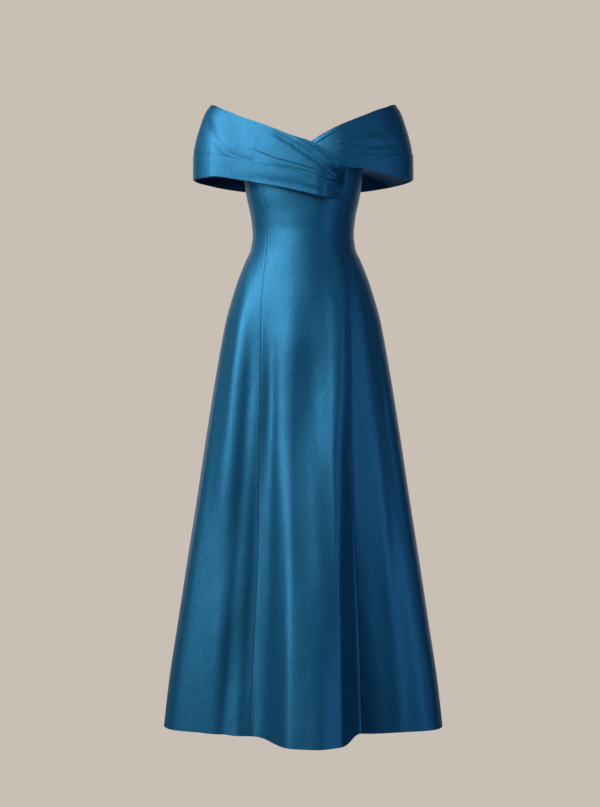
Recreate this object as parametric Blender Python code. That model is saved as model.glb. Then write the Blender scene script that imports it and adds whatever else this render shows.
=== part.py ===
"""Off-the-shoulder ball gown, kept in the shape it has when worn, as thin closed cloth walls.

Units are metres. The origin is the centre of the waist, +Z is up, the front faces -Y and +X is the wearer's left.
The body is one ring surface: around it runs a seam coordinate, which is a whole number at each seam, and down it runs
a nominal height. Each panel is the stretch between two seams. The collar is a second ring outside the body. Its right
half crosses over its left half at the front and is sewn into the left princess seam.
"""

import math

import bmesh
import bpy
import numpy as np

# Cloth and seams
BODY_WALL = 0.0020
COLLAR_WALL = 0.0022
FOLD_WALL = 0.0020
SEAM_GAP = 0.0003
LAYER_GAP = 0.0005

# Body: one row for each level
SECTION_COLUMNS = ("height", "half_width", "front_depth", "back_depth", "front_squareness", "back_squareness")
SECTIONS = (
    (-1.135, 0.3185, 0.121, 0.150, 2.50, 2.60),
    (-1.011, 0.3045, 0.119, 0.147, 2.48, 2.58),
    (-0.875, 0.2840, 0.117, 0.144, 2.46, 2.56),
    (-0.739, 0.2636, 0.115, 0.141, 2.44, 2.54),
    (-0.602, 0.2420, 0.113, 0.138, 2.42, 2.52),
    (-0.466, 0.2216, 0.112, 0.135, 2.40, 2.50),
    (-0.330, 0.2000, 0.111, 0.131, 2.35, 2.48),
    (-0.239, 0.1840, 0.110, 0.127, 2.25, 2.45),
    (-0.193, 0.1750, 0.109, 0.122, 2.20, 2.40),
    (-0.148, 0.1625, 0.108, 0.117, 2.15, 2.40),
    (-0.102, 0.1477, 0.105, 0.108, 2.10, 2.35),
    (-0.057, 0.1295, 0.101, 0.097, 2.05, 2.30),
    (-0.034, 0.1193, 0.099, 0.091, 2.05, 2.30),
    (0.000, 0.1150, 0.098, 0.087, 2.05, 2.30),
    (0.034, 0.1180, 0.102, 0.090, 2.10, 2.40),
    (0.091, 0.1295, 0.110, 0.101, 2.30, 2.70),
    (0.143, 0.1360, 0.1125, 0.107, 2.50, 2.80),
    (0.190, 0.1405, 0.107, 0.1075, 2.60, 2.70),
)

# Seams, as distances from the centre plane on the front and the back
SEAM_COLUMNS = ("height", "front_right", "front_left", "back")
SEAMS = (
    (-1.120, 0.1165, 0.1310, 0.140),
    (-0.971, 0.1105, 0.1260, 0.132),
    (-0.873, 0.1069, 0.1216, 0.126),
    (-0.709, 0.1002, 0.1125, 0.116),
    (-0.602, 0.0986, 0.1087, 0.110),
    (-0.462, 0.0955, 0.1040, 0.101),
    (-0.366, 0.0935, 0.1040, 0.095),
    (-0.200, 0.0929, 0.1010, 0.084),
    (-0.142, 0.0917, 0.0985, 0.078),
    (-0.089, 0.0884, 0.0934, 0.073),
    (-0.050, 0.0835, 0.0875, 0.069),
    (-0.013, 0.0811, 0.0838, 0.067),
    (0.049, 0.0811, 0.0840, 0.070),
    (0.074, 0.0870, 0.0867, 0.073),
    (0.100, 0.0930, 0.0905, 0.076),
    (0.123, 0.0950, 0.0936, 0.078),
    (0.185, 0.0930, 0.0920, 0.080),
)
SIDE_SEAM_ANGLE = math.radians(94.0)

# Flutes: soft terraces of the skirt. Seam coordinates 0 and 7 are the centre back, 3 and 4 the front princess seams.
FLUTE_COLUMNS = ("rise_from", "rise_to", "fall_from", "fall_to", "reach_at_hem", "begins")
FLUTES = (
    (3.02, 3.40, 3.73, 4.00, 0.108, -0.10),
    (3.12, 3.50, 3.50, 3.92, 0.020, -0.10),
    (2.83, 2.94, 3.02, 3.34, 0.020, -0.20),
    (3.88, 4.00, 4.02, 4.22, 0.006, -0.20),
    (2.20, 2.45, 2.55, 2.82, 0.006, -0.20),
    (4.30, 4.50, 4.60, 4.85, 0.006, -0.20),
    (5.15, 5.45, 5.50, 5.90, 0.034, -0.25),
    (1.12, 1.45, 1.55, 1.85, 0.030, -0.25),
    (5.92, 6.50, 6.60, 6.99, 0.070, -0.14),
    (0.02, 0.42, 0.52, 1.10, 0.064, -0.14),
    (6.50, 6.96, 7.04, 7.48, 0.058, -0.18),
)
FLUTE_GROWTH = 1.15

# Forms of the front over its sections and flutes: ridges (plus) and hollows (minus). Each lies along a line that
# slants from its upper to its lower place, with this spread to each side, and fades in and out at its two levels.
FORM_COLUMNS = ("upper_place", "lower_place", "spread", "reach", "upper_level", "lower_level", "fade")
FORMS = (
    (2.70, 2.74, 0.15, 0.012, -0.05, -0.80, 0.28),
    (2.76, 2.82, 0.11, 0.012, -0.60, -1.50, 0.35),
    (2.96, 2.96, 0.11, -0.015, -0.40, -1.18, 0.30),
    (3.55, 3.50, 0.26, 0.009, 0.10, -0.36, 0.14),
    (3.42, 3.42, 0.17, -0.010, -0.22, -0.95, 0.26),
    (3.86, 3.92, 0.15, 0.018, 0.02, -0.90, 0.30),
    (4.14, 4.20, 0.18, 0.010, -0.05, -0.90, 0.28),
    (3.92, 3.90, 0.16, -0.012, -0.80, -1.50, 0.32),
    (3.56, 3.56, 0.11, 0.008, -0.80, -1.50, 0.32),
)

# Levels
NECK_LEVEL = 0.185
HEM_LEVEL = -1.114
NECK_DIP_FRONT = 0.013
NECK_DIP_BACK = 0.035
HEM_DIP = 0.080
HEM_DIP_STARTS = 0.100
LEVELS = (
    0.185, 0.160, 0.134, 0.108, 0.082, 0.056, 0.030, 0.004, -0.022, -0.048, -0.074, -0.104,
    -0.140, -0.185, -0.245, -0.330, -0.450, -0.590, -0.740, -0.890, -1.010, -1.114,
)
NECK_BLEND_LEVEL = 0.030
HEM_BLEND_LEVEL = -0.590

# Panels: name and columns of the grid, in order around the body from the centre back
PANELS = (
    ("back_centre_right", 10),
    ("back_side_right", 9),
    ("front_side_right", 13),
    ("front_centre", 18),
    ("front_side_left", 13),
    ("back_side_left", 9),
    ("back_centre_left", 10),
)

# Collar ring
COLLAR_COLUMNS = ("height", "half_width", "front_depth", "back_depth")
COLLAR_SECTIONS = (
    (0.0600, 0.2485, 0.1180, 0.1105),
    (0.0850, 0.2485, 0.1190, 0.1105),
    (0.1240, 0.2485, 0.1210, 0.1105),
    (0.1500, 0.2484, 0.1210, 0.1105),
    (0.1830, 0.2478, 0.1195, 0.1100),
    (0.2058, 0.2440, 0.1175, 0.1090),
    (0.2431, 0.2335, 0.1130, 0.1060),
    (0.2787, 0.2205, 0.1080, 0.1020),
    (0.2940, 0.2100, 0.1040, 0.0990),
)
COLLAR_FRONT_SQUARENESS = 2.15
COLLAR_BACK_SQUARENESS = 2.45

# The collar's front runs flatter from the right arm and stands out most at the crossing
COLLAR_SWELL_COLUMNS = ("across", "standing out")
COLLAR_SWELL = ((-0.2080, 0.0), (-0.1350, -0.0115), (0.0750, 0.0135), (0.2100, 0.0))

# Collar edges: on the front the distance from the centre plane, to the wearer's left, and on the back the angle
FRONT_EDGE_COLUMNS = ("across", "height")
RIGHT_TOP_FRONT = (
    (-0.2110, 0.2940), (-0.2023, 0.2895), (-0.1757, 0.2750), (-0.1433, 0.2598), (-0.0805, 0.2345),
    (-0.0250, 0.2105), (0.0100, 0.1985), (0.0300, 0.1880), (0.0627, 0.1645), (0.0923, 0.1400),
)
RIGHT_BOTTOM_FRONT = (
    (-0.2485, 0.1238), (-0.2233, 0.1225), (-0.2030, 0.1235), (-0.1350, 0.1127), (-0.0923, 0.1040),
    (-0.0471, 0.0950), (-0.0073, 0.0851), (0.0258, 0.0770), (0.0602, 0.0712), (0.0838, 0.0714),
)
LEFT_TOP_FRONT = (
    (-0.0300, 0.1840), (0.0115, 0.1965), (0.0326, 0.2090), (0.0525, 0.2195), (0.0770, 0.2315),
    (0.1040, 0.2440), (0.1355, 0.2580), (0.1678, 0.2735), (0.2050, 0.2915), (0.2100, 0.2940),
)
LEFT_BOTTOM_FRONT = (
    (0.0650, 0.1400), (0.1017, 0.1379), (0.1351, 0.1373), (0.1520, 0.1341), (0.1775, 0.1288),
    (0.2158, 0.1225), (0.2485, 0.1250),
)
BACK_EDGE_COLUMNS = ("degrees_from_front", "height")
TOP_BACK = ((105.0, 0.285), (120.0, 0.267), (135.0, 0.246), (150.0, 0.225), (165.0, 0.212), (180.0, 0.207))
BOTTOM_BACK = ((117.0, 0.120), (137.0, 0.113), (153.0, 0.107), (180.0, 0.095))
FOLD_START = 0.66
COLLAR_ROWS = 9
FOLD_ROWS = 3
RIGHT_HALF_COLUMNS = 46
LEFT_HALF_COLUMNS = 38

# Where the right half lies over the left half, and where its end turns in to the princess seam
OVERLAP_LIFT = 0.0066
OVERLAP_TURNS = (math.radians(-52.0), math.radians(-9.0))
TUCK_ACROSS = (0.040, 0.086)
TUCK_HEIGHTS = (0.110, 0.135)

# Zip at the centre back, closed, its slider just under the collar. In the slider's own frame X is across, Y out
# from the cloth and Z up along it. The pull tab turns in the slider's arch.
SLIDER_CENTRE = 0.074
SLIDER_WIDTH = 0.0056
SLIDER_HEIGHT = 0.0100
SLIDER_DEPTH = 0.0024
SLIDER_CLEARANCE = 0.0004
ARCH_WIDTH = 0.0014
ARCH_BAR = 0.0009
ARCH_INNER_HEIGHT = 0.0043
ARCH_INNER_DEPTH = 0.0019
PULL_BAR = 0.0010
PULL_WIDTH = 0.0046
PULL_WAIST = 0.72
PULL_LENGTH = 0.0240
PULL_EYE_WIDTH = 0.0024
PULL_EYE_END = 0.0040

# Materials: colour in linear light, roughness, metallic
SATIN = ((0.012, 0.150, 0.330), 0.38, 0.25)
ZIP_METAL = ((0.020, 0.120, 0.240), 0.30, 0.80)


def clear_scene():
    """Removes every object, so that the script can be run again from an open file."""
    for old in list(bpy.data.objects):
        bpy.data.objects.remove(old, do_unlink=True)


def smooth_step(low, high, value):
    """0 below low, 1 above high, and a soft S between them."""
    t = np.clip((value - low) / (high - low), 0.0, 1.0)
    return t * t * (3.0 - 2.0 * t)


def smooth_curve(rows, column, at):
    """A curve through one column of a table, with no bumps between the rows and flat beyond its ends."""
    table = np.array(rows, dtype=float)
    xs = table[:, 0]
    ys = table[:, column]
    step = np.diff(xs)
    slope = np.diff(ys) / step
    product = slope[:-1] * slope[1:]
    total = np.where(product > 0.0, slope[:-1] + slope[1:], 1.0)
    tangent = np.concatenate(([slope[0]], np.where(product > 0.0, 2.0 * product / total, 0.0), [slope[-1]]))
    at = np.clip(at, xs[0], xs[-1])
    i = np.clip(np.searchsorted(xs, at) - 1, 0, len(xs) - 2)
    h = step[i]
    t = (at - xs[i]) / h
    return (
        ys[i] * (1.0 + 2.0 * t) * (1.0 - t) ** 2
        + tangent[i] * h * t * (1.0 - t) ** 2
        + ys[i + 1] * t * t * (3.0 - 2.0 * t)
        + tangent[i + 1] * h * t * t * (t - 1.0)
    )


def ring_point(turn, half_width, front_depth, back_depth, front_squareness, back_squareness):
    """A point on a rounded-square ring and its outward direction. turn is 0 at the front and grows to +X."""
    sine = np.sin(turn)
    cosine = np.cos(turn)
    depth = np.where(cosine > 0.0, front_depth, back_depth)
    squareness = np.where(cosine > 0.0, front_squareness, back_squareness)
    power = 2.0 / squareness
    x = half_width * np.sign(sine) * np.abs(sine) ** power
    y = -depth * np.sign(cosine) * np.abs(cosine) ** power
    out_x = np.sign(sine) * (np.abs(x) / half_width) ** (squareness - 1.0) / half_width
    out_y = -np.sign(cosine) * (np.abs(y) / depth) ** (squareness - 1.0) / depth
    length = np.hypot(out_x, out_y)
    return x, y, out_x / length, out_y / length


def turn_at(across, half_width, squareness):
    """The angle at which the ring is this far from the centre plane."""
    return np.arcsin(np.clip(across / half_width, 0.0, 1.0) ** (squareness / 2.0))


def seam_turns(level):
    """The angles of the eight seam lines at a level, from the centre back round to the centre back."""
    half_width = smooth_curve(SECTIONS, 1, level)
    front_squareness = smooth_curve(SECTIONS, 4, level)
    back_squareness = smooth_curve(SECTIONS, 5, level)
    front_right = turn_at(smooth_curve(SEAMS, 1, level), half_width, front_squareness)
    front_left = turn_at(smooth_curve(SEAMS, 2, level), half_width, front_squareness)
    back = math.pi - turn_at(smooth_curve(SEAMS, 3, level), half_width, back_squareness)
    side = np.full_like(back, SIDE_SEAM_ANGLE)
    centre = np.full_like(back, math.pi)
    return np.stack([-centre, -back, -side, -front_right, front_left, side, back, centre], axis=-1)


def flute_reach(place, level):
    """How far the skirt's flutes push the ring outward at a seam coordinate and a level."""
    reach = np.zeros(np.broadcast(place, level).shape)
    for rise_from, rise_to, fall_from, fall_to, at_hem, begins in FLUTES:
        growth = np.clip((begins - level) / (begins - HEM_LEVEL), 0.0, 1.0) ** FLUTE_GROWTH
        for shifted in (place, place + 7.0):
            shape = smooth_step(rise_from, rise_to, shifted) * (1.0 - smooth_step(fall_from, fall_to, shifted))
            reach = reach + at_hem * growth * shape
    return reach


def soft_forms(place, level, rows):
    """Sum of soft ridges and hollows: each is a bell across a line that slants from its upper to its lower place."""
    reach = np.zeros(np.broadcast(place, level).shape)
    for upper_place, lower_place, spread, height, upper_level, lower_level, fade in rows:
        share = np.clip((upper_level - level) / (upper_level - lower_level), 0.0, 1.0)
        centre = upper_place + (lower_place - upper_place) * share
        along = smooth_step(0.0, fade, upper_level - level) * smooth_step(0.0, fade, level - lower_level)
        reach = reach + height * along * np.exp(-(((place - centre) / spread) ** 2))
    return reach


def body_surface(place, level):
    """Outer face of the body: ring of the level's section, pushed outward by its form, with the neck and hem lines.

    place is the seam coordinate from 0 to 7, level the nominal height.
    """
    place, level = np.broadcast_arrays(place, level)
    turns = seam_turns(level)
    panel = np.clip(np.floor(place).astype(int), 0, len(PANELS) - 1)
    share = place - panel
    start = np.take_along_axis(turns, panel[..., None], axis=-1)[..., 0]
    end = np.take_along_axis(turns, panel[..., None] + 1, axis=-1)[..., 0]
    turn = start + (end - start) * share
    section = [smooth_curve(SECTIONS, column, level) for column in range(1, 6)]
    x, y, out_x, out_y = ring_point(turn, *section)
    reach = flute_reach(place, level) + soft_forms(place, level, FORMS)
    x = x + reach * out_x
    y = y + reach * out_y
    facing = np.cos(turn)
    neck_drop = NECK_DIP_FRONT * np.clip(facing, 0.0, 1.0) ** 2 + NECK_DIP_BACK * np.clip(-facing, 0.0, 1.0) ** 2
    neck_share = smooth_step(NECK_BLEND_LEVEL, NECK_LEVEL, level)
    hem_share = np.clip((HEM_BLEND_LEVEL - level) / (HEM_BLEND_LEVEL - HEM_LEVEL), 0.0, 1.0) ** 1.5
    z = level - neck_drop * neck_share - HEM_DIP * np.clip(np.abs(y) - HEM_DIP_STARTS, 0.0, None) * hem_share
    return np.stack([x, y, z], axis=-1)


def body_front(across, height):
    """Depth of the body's plain front at a place above the waist."""
    level = height + NECK_DIP_FRONT * smooth_step(NECK_BLEND_LEVEL, NECK_LEVEL, height)
    half_width = smooth_curve(SECTIONS, 1, level)
    front_depth = smooth_curve(SECTIONS, 2, level)
    squareness = smooth_curve(SECTIONS, 4, level)
    share = np.clip(np.abs(across) / half_width, 0.0, 0.98)
    return -front_depth * (1.0 - share**squareness) ** (1.0 / squareness)


def grid_normals(points, closed_round=False):
    """Outward unit normals of a grid of points, from the differences between neighbours."""
    if closed_round:
        around = np.roll(points, -1, axis=1) - np.roll(points, 1, axis=1)
    else:
        around = np.gradient(points, axis=1)
    down = np.gradient(points, axis=0)
    normal = np.cross(down, around)
    return normal / np.linalg.norm(normal, axis=-1, keepdims=True)


def wall_solid(name, outer, inner, material):
    """A closed wall between two grids of the same shape: outer face, inner face and the four edges between them."""
    rows, columns = outer.shape[:2]
    count = rows * columns
    vertices = np.concatenate([outer.reshape(-1, 3), inner.reshape(-1, 3)])
    index = np.arange(count).reshape(rows, columns)
    top_left = index[:-1, :-1].ravel()
    top_right = index[:-1, 1:].ravel()
    low_left = index[1:, :-1].ravel()
    low_right = index[1:, 1:].ravel()
    outside = np.stack([top_left, low_left, low_right, top_right], axis=1)
    inside = outside[:, ::-1] + count
    rim = np.concatenate([index[:, 0], index[-1, 1:], index[-2::-1, -1], index[0, -2::-1]])
    a = rim[:-1]
    b = rim[1:]
    edges = np.stack([b, a, a + count, b + count], axis=1)
    faces = np.concatenate([outside, inside, edges])
    return add_object(name, vertices, faces.tolist(), material)


def add_object(name, vertices, faces, material):
    """Makes one named object from a list of points and faces, with its faces turned outward."""
    mesh = bpy.data.meshes.new(name)
    mesh.from_pydata([tuple(v) for v in vertices], [], faces)
    work = bmesh.new()
    work.from_mesh(mesh)
    bmesh.ops.recalc_face_normals(work, faces=work.faces)
    if work.calc_volume(signed=True) < 0.0:
        bmesh.ops.reverse_faces(work, faces=work.faces)
    bmesh.ops.triangulate(work, faces=work.faces, quad_method="SHORT_EDGE")
    work.to_mesh(mesh)
    work.free()
    mesh.materials.append(material)
    made = bpy.data.objects.new(name, mesh)
    bpy.context.scene.collection.objects.link(made)
    return made


def plain_material(name, look):
    """A Principled material from a colour, a roughness and a metallic value."""
    colour, roughness, metallic = look
    material = bpy.data.materials.new(name)
    material.use_nodes = True
    shader = next(n for n in material.node_tree.nodes if n.type == "BSDF_PRINCIPLED")
    shader.inputs["Base Color"].default_value = (*colour, 1.0)
    shader.inputs["Roughness"].default_value = roughness
    shader.inputs["Metallic"].default_value = metallic
    return material


def inset_ends(points, start, end):
    """Moves the first and last column along the grid by start and end metres, to leave the seam gaps."""
    points = points.copy()
    first = points[:, 1] - points[:, 0]
    last = points[:, -2] - points[:, -1]
    points[:, 0] += start * first / np.linalg.norm(first, axis=-1, keepdims=True)
    points[:, -1] += end * last / np.linalg.norm(last, axis=-1, keepdims=True)
    return points


def build_body():
    """The seven panels, each a wall between two seams."""
    levels = np.array(LEVELS)[:, None]
    places = np.concatenate([i + np.arange(n) / n for i, (_, n) in enumerate(PANELS)])
    outer = body_surface(places[None, :], levels)
    normals = grid_normals(outer, closed_round=True)
    outer = np.concatenate([outer, outer[:, :1]], axis=1)
    normals = np.concatenate([normals, normals[:, :1]], axis=1)
    inner = outer - BODY_WALL * normals
    start = 0
    for name, columns in PANELS:
        stretch = slice(start, start + columns + 1)
        half_gap = SEAM_GAP / 2.0
        wall_solid(
            name,
            inset_ends(outer[:, stretch], half_gap, half_gap),
            inset_ends(inner[:, stretch], half_gap, half_gap),
            plain_material(name, SATIN),
        )
        start += columns


def edge_rows(front, back, side):
    """One edge of a collar half as rows of angle and height. side is -1 for the wearer's right, 1 for the left."""
    across, height = np.array(front).T
    half_width = smooth_curve(COLLAR_SECTIONS, 1, height)
    turn = np.sign(across) * turn_at(np.abs(across), half_width, COLLAR_FRONT_SQUARENESS)
    back_turn, back_height = np.array(back).T
    rows = np.concatenate([
        np.stack([turn, height], axis=1),
        np.stack([side * np.radians(back_turn), back_height], axis=1),
    ])
    return rows[np.argsort(rows[:, 0])]


def collar_surface(share, down, top_rows, bottom_rows, crosses_over):
    """Outer face of a collar half: the collar ring between its top and bottom edge.

    share runs from one end of the half to the other and down from its top edge to its bottom edge, both 0 to 1. The
    front swells towards the crossing. The half that crosses over is lifted clear of the other at the front, and its
    end turns in to lie on the bodice.
    """
    top_turn = top_rows[0, 0] + (top_rows[-1, 0] - top_rows[0, 0]) * share
    bottom_turn = bottom_rows[0, 0] + (bottom_rows[-1, 0] - bottom_rows[0, 0]) * share
    turn = top_turn + (bottom_turn - top_turn) * down
    top = smooth_curve(top_rows, 1, top_turn)
    bottom = smooth_curve(bottom_rows, 1, bottom_turn)
    z = top + (bottom - top) * down
    section = [smooth_curve(COLLAR_SECTIONS, column, z) for column in range(1, 4)]
    x, y, out_x, out_y = ring_point(turn, *section, COLLAR_FRONT_SQUARENESS, COLLAR_BACK_SQUARENESS)
    y = y - np.where(np.cos(turn) > 0.0, smooth_curve(COLLAR_SWELL, 1, x), 0.0)
    if crosses_over:
        lift = OVERLAP_LIFT * smooth_step(*OVERLAP_TURNS, turn)
        x = x + lift * out_x
        y = y + lift * out_y
        tuck = smooth_step(*TUCK_ACROSS, x) * (1.0 - smooth_step(*TUCK_HEIGHTS, z))
        on_bodice = body_front(x, z) - COLLAR_WALL - 1.4 * LAYER_GAP
        y = y + (on_bodice - y) * tuck
    return np.stack([x, y, z], axis=-1)


def build_collar_half(side, columns, top_rows, bottom_rows, crosses_over):
    """A collar half and the turned fold that lies on its lower third, both from the same grid."""
    drape_rows = COLLAR_ROWS - FOLD_ROWS
    down = np.concatenate([
        np.linspace(0.0, FOLD_START, drape_rows, endpoint=False),
        np.linspace(FOLD_START, 1.0, FOLD_ROWS + 1),
    ])
    share, down = np.meshgrid(np.linspace(0.0, 1.0, columns + 1), down)
    surface = collar_surface(share, down, top_rows, bottom_rows, crosses_over)
    normals = grid_normals(surface)
    half_gap = SEAM_GAP / 2.0
    gaps = (half_gap, 0.0) if crosses_over else (0.0, half_gap)
    outer = inset_ends(surface, *gaps)
    inner = inset_ends(surface - COLLAR_WALL * normals, *gaps)
    drape_name = f"collar_{side}_drape"
    wall_solid(drape_name, outer, inner, plain_material(drape_name, SATIN))
    fold_outer = inset_ends((surface + (LAYER_GAP + FOLD_WALL) * normals)[drape_rows:], *gaps)
    fold_inner = inset_ends((surface + LAYER_GAP * normals)[drape_rows:], *gaps)
    fold_name = f"collar_{side}_fold"
    wall_solid(fold_name, fold_outer, fold_inner, plain_material(fold_name, SATIN))


def build_collar():
    """Both collar halves, from the centre back to the crossing at the front."""
    build_collar_half(
        "right", RIGHT_HALF_COLUMNS, edge_rows(RIGHT_TOP_FRONT, TOP_BACK, -1.0),
        edge_rows(RIGHT_BOTTOM_FRONT, BOTTOM_BACK, -1.0), True,
    )
    build_collar_half(
        "left", LEFT_HALF_COLUMNS, edge_rows(LEFT_TOP_FRONT, TOP_BACK, 1.0),
        edge_rows(LEFT_BOTTOM_FRONT, BOTTOM_BACK, 1.0), False,
    )


def back_depth_at(height):
    """Depth of the body's centre back at a height above the waist."""
    level = np.linspace(0.0, NECK_LEVEL, 400)
    line = body_surface(np.zeros_like(level), level)
    return float(np.interp(height, line[:, 2], line[:, 1]))


def cell_solid(name, cuts, filled, material):
    """A closed solid from the filled cells of a box grid. cuts has the grid's planes along X, Y and Z."""
    size = [len(c) - 1 for c in cuts]
    full = np.zeros([n + 2 for n in size], dtype=bool)
    for i, j, k in filled:
        full[i + 1, j + 1, k + 1] = True
    corners = {}
    vertices = []
    faces = []

    def corner(key):
        if key not in corners:
            corners[key] = len(vertices)
            vertices.append([cuts[axis][key[axis]] for axis in range(3)])
        return corners[key]

    for i, j, k in filled:
        cell = (i, j, k)
        for axis in range(3):
            u_axis = (axis + 1) % 3
            v_axis = (axis + 2) % 3
            for step in (0, 1):
                beside = [i + 1, j + 1, k + 1]
                beside[axis] += 2 * step - 1
                if full[tuple(beside)]:
                    continue
                ring = []
                for du, dv in ((0, 0), (1, 0), (1, 1), (0, 1)):
                    key = list(cell)
                    key[axis] += step
                    key[u_axis] += du
                    key[v_axis] += dv
                    ring.append(corner(tuple(key)))
                faces.append(ring if step else ring[::-1])
    return add_object(name, vertices, faces, material)


def build_zip():
    """The slider on the centre back seam, and the pull tab that hangs from its arch."""
    seat_y = back_depth_at(SLIDER_CENTRE) + SLIDER_CLEARANCE
    half = SLIDER_HEIGHT / 2.0
    rise = back_depth_at(SLIDER_CENTRE + half) - back_depth_at(SLIDER_CENTRE - half)
    lean = -math.atan2(rise, SLIDER_HEIGHT)
    leg_inner = ARCH_INNER_HEIGHT / 2.0
    leg_outer = leg_inner + ARCH_BAR
    slider_cuts = (
        (-SLIDER_WIDTH / 2.0, -ARCH_WIDTH / 2.0, ARCH_WIDTH / 2.0, SLIDER_WIDTH / 2.0),
        (0.0, SLIDER_DEPTH, SLIDER_DEPTH + ARCH_INNER_DEPTH, SLIDER_DEPTH + ARCH_INNER_DEPTH + ARCH_BAR),
        (-half, -leg_outer, -leg_inner, leg_inner, leg_outer, half),
    )
    body_cells = [(i, 0, k) for i in range(3) for k in range(5)]
    arch_cells = [(1, 1, 1), (1, 1, 3), (1, 2, 1), (1, 2, 2), (1, 2, 3)]
    slider = cell_solid("zip_slider", slider_cuts, body_cells + arch_cells, plain_material("zip_slider", ZIP_METAL))
    slider.location = (0.0, seat_y, SLIDER_CENTRE)
    slider.rotation_euler = (lean, 0.0, 0.0)
    bar = PULL_BAR / 2.0
    pull_cuts = (
        (-PULL_WIDTH / 2.0, -PULL_EYE_WIDTH / 2.0, PULL_EYE_WIDTH / 2.0, PULL_WIDTH / 2.0),
        (-bar, bar),
        (-PULL_LENGTH, -0.6 * PULL_LENGTH, -PULL_EYE_END, -bar, bar),
    )
    pull_cells = [(i, 0, k) for i in range(3) for k in range(4) if (i, k) != (1, 2)]
    pull = cell_solid("zip_pull", pull_cuts, pull_cells, plain_material("zip_pull", ZIP_METAL))
    for vertex in pull.data.vertices:
        if abs(vertex.co.z + 0.6 * PULL_LENGTH) < bar:
            vertex.co.x *= PULL_WAIST
    out = SLIDER_DEPTH + ARCH_INNER_DEPTH / 2.0
    pull.location = (0.0, seat_y + out * math.cos(lean), SLIDER_CENTRE + out * math.sin(lean))


def main():
    clear_scene()
    build_body()
    build_collar()
    build_zip()


main()
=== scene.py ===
"""Looks of the off-the-shoulder gown: satin-faced cloth in its worn form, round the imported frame.

Every cloth piece is a thin wall on the form of its solid, worked out from the same rings, with the creases and rolled
edges that the cloth shows. Along each piece runs its seam coordinate or its share from end to end, and down it its
height. The last lines stand the gown in a plain pale studio.
"""

import math

import bpy
import numpy as np
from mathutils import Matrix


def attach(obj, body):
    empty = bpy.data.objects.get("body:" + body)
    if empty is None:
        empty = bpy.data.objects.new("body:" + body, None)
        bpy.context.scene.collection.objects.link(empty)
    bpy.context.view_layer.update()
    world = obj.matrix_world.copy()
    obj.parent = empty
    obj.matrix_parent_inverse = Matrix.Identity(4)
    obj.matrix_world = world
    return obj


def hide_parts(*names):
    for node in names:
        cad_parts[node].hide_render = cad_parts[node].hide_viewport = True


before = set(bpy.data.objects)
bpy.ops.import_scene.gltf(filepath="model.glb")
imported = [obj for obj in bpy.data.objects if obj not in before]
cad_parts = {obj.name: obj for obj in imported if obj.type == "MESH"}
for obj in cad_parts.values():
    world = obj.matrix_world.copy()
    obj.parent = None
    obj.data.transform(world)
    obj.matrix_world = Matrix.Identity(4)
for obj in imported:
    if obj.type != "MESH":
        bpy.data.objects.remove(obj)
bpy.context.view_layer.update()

# Seams and layers
SEAM_GAP = 0.00006
LAYER_GAP = 0.0005
COLLAR_WALL = 0.0022

# Body: one row for each level
SECTION_COLUMNS = ("height", "half_width", "front_depth", "back_depth", "front_squareness", "back_squareness")
SECTIONS = (
    (-1.135, 0.3185, 0.121, 0.150, 2.50, 2.60),
    (-1.011, 0.3045, 0.119, 0.147, 2.48, 2.58),
    (-0.875, 0.2840, 0.117, 0.144, 2.46, 2.56),
    (-0.739, 0.2636, 0.115, 0.141, 2.44, 2.54),
    (-0.602, 0.2420, 0.113, 0.138, 2.42, 2.52),
    (-0.466, 0.2216, 0.112, 0.135, 2.40, 2.50),
    (-0.330, 0.2000, 0.111, 0.131, 2.35, 2.48),
    (-0.239, 0.1840, 0.110, 0.127, 2.25, 2.45),
    (-0.193, 0.1750, 0.109, 0.122, 2.20, 2.40),
    (-0.148, 0.1625, 0.108, 0.117, 2.15, 2.40),
    (-0.102, 0.1477, 0.105, 0.108, 2.10, 2.35),
    (-0.057, 0.1295, 0.101, 0.097, 2.05, 2.30),
    (-0.034, 0.1193, 0.099, 0.091, 2.05, 2.30),
    (0.000, 0.1150, 0.098, 0.087, 2.05, 2.30),
    (0.034, 0.1180, 0.102, 0.090, 2.10, 2.40),
    (0.091, 0.1295, 0.110, 0.101, 2.30, 2.70),
    (0.143, 0.1360, 0.1125, 0.107, 2.50, 2.80),
    (0.190, 0.1405, 0.107, 0.1075, 2.60, 2.70),
)

# Seams, as distances from the centre plane on the front and the back
SEAM_COLUMNS = ("height", "front_right", "front_left", "back")
SEAMS = (
    (-1.120, 0.1165, 0.1310, 0.140),
    (-0.971, 0.1105, 0.1260, 0.132),
    (-0.873, 0.1069, 0.1216, 0.126),
    (-0.709, 0.1002, 0.1125, 0.116),
    (-0.602, 0.0986, 0.1087, 0.110),
    (-0.462, 0.0955, 0.1040, 0.101),
    (-0.366, 0.0935, 0.1040, 0.095),
    (-0.200, 0.0929, 0.1010, 0.084),
    (-0.142, 0.0917, 0.0985, 0.078),
    (-0.089, 0.0884, 0.0934, 0.073),
    (-0.050, 0.0835, 0.0875, 0.069),
    (-0.013, 0.0811, 0.0838, 0.067),
    (0.049, 0.0811, 0.0840, 0.070),
    (0.074, 0.0870, 0.0867, 0.073),
    (0.100, 0.0930, 0.0905, 0.076),
    (0.123, 0.0950, 0.0936, 0.078),
    (0.185, 0.0930, 0.0920, 0.080),
)
SIDE_SEAM_ANGLE = math.radians(94.0)

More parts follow.
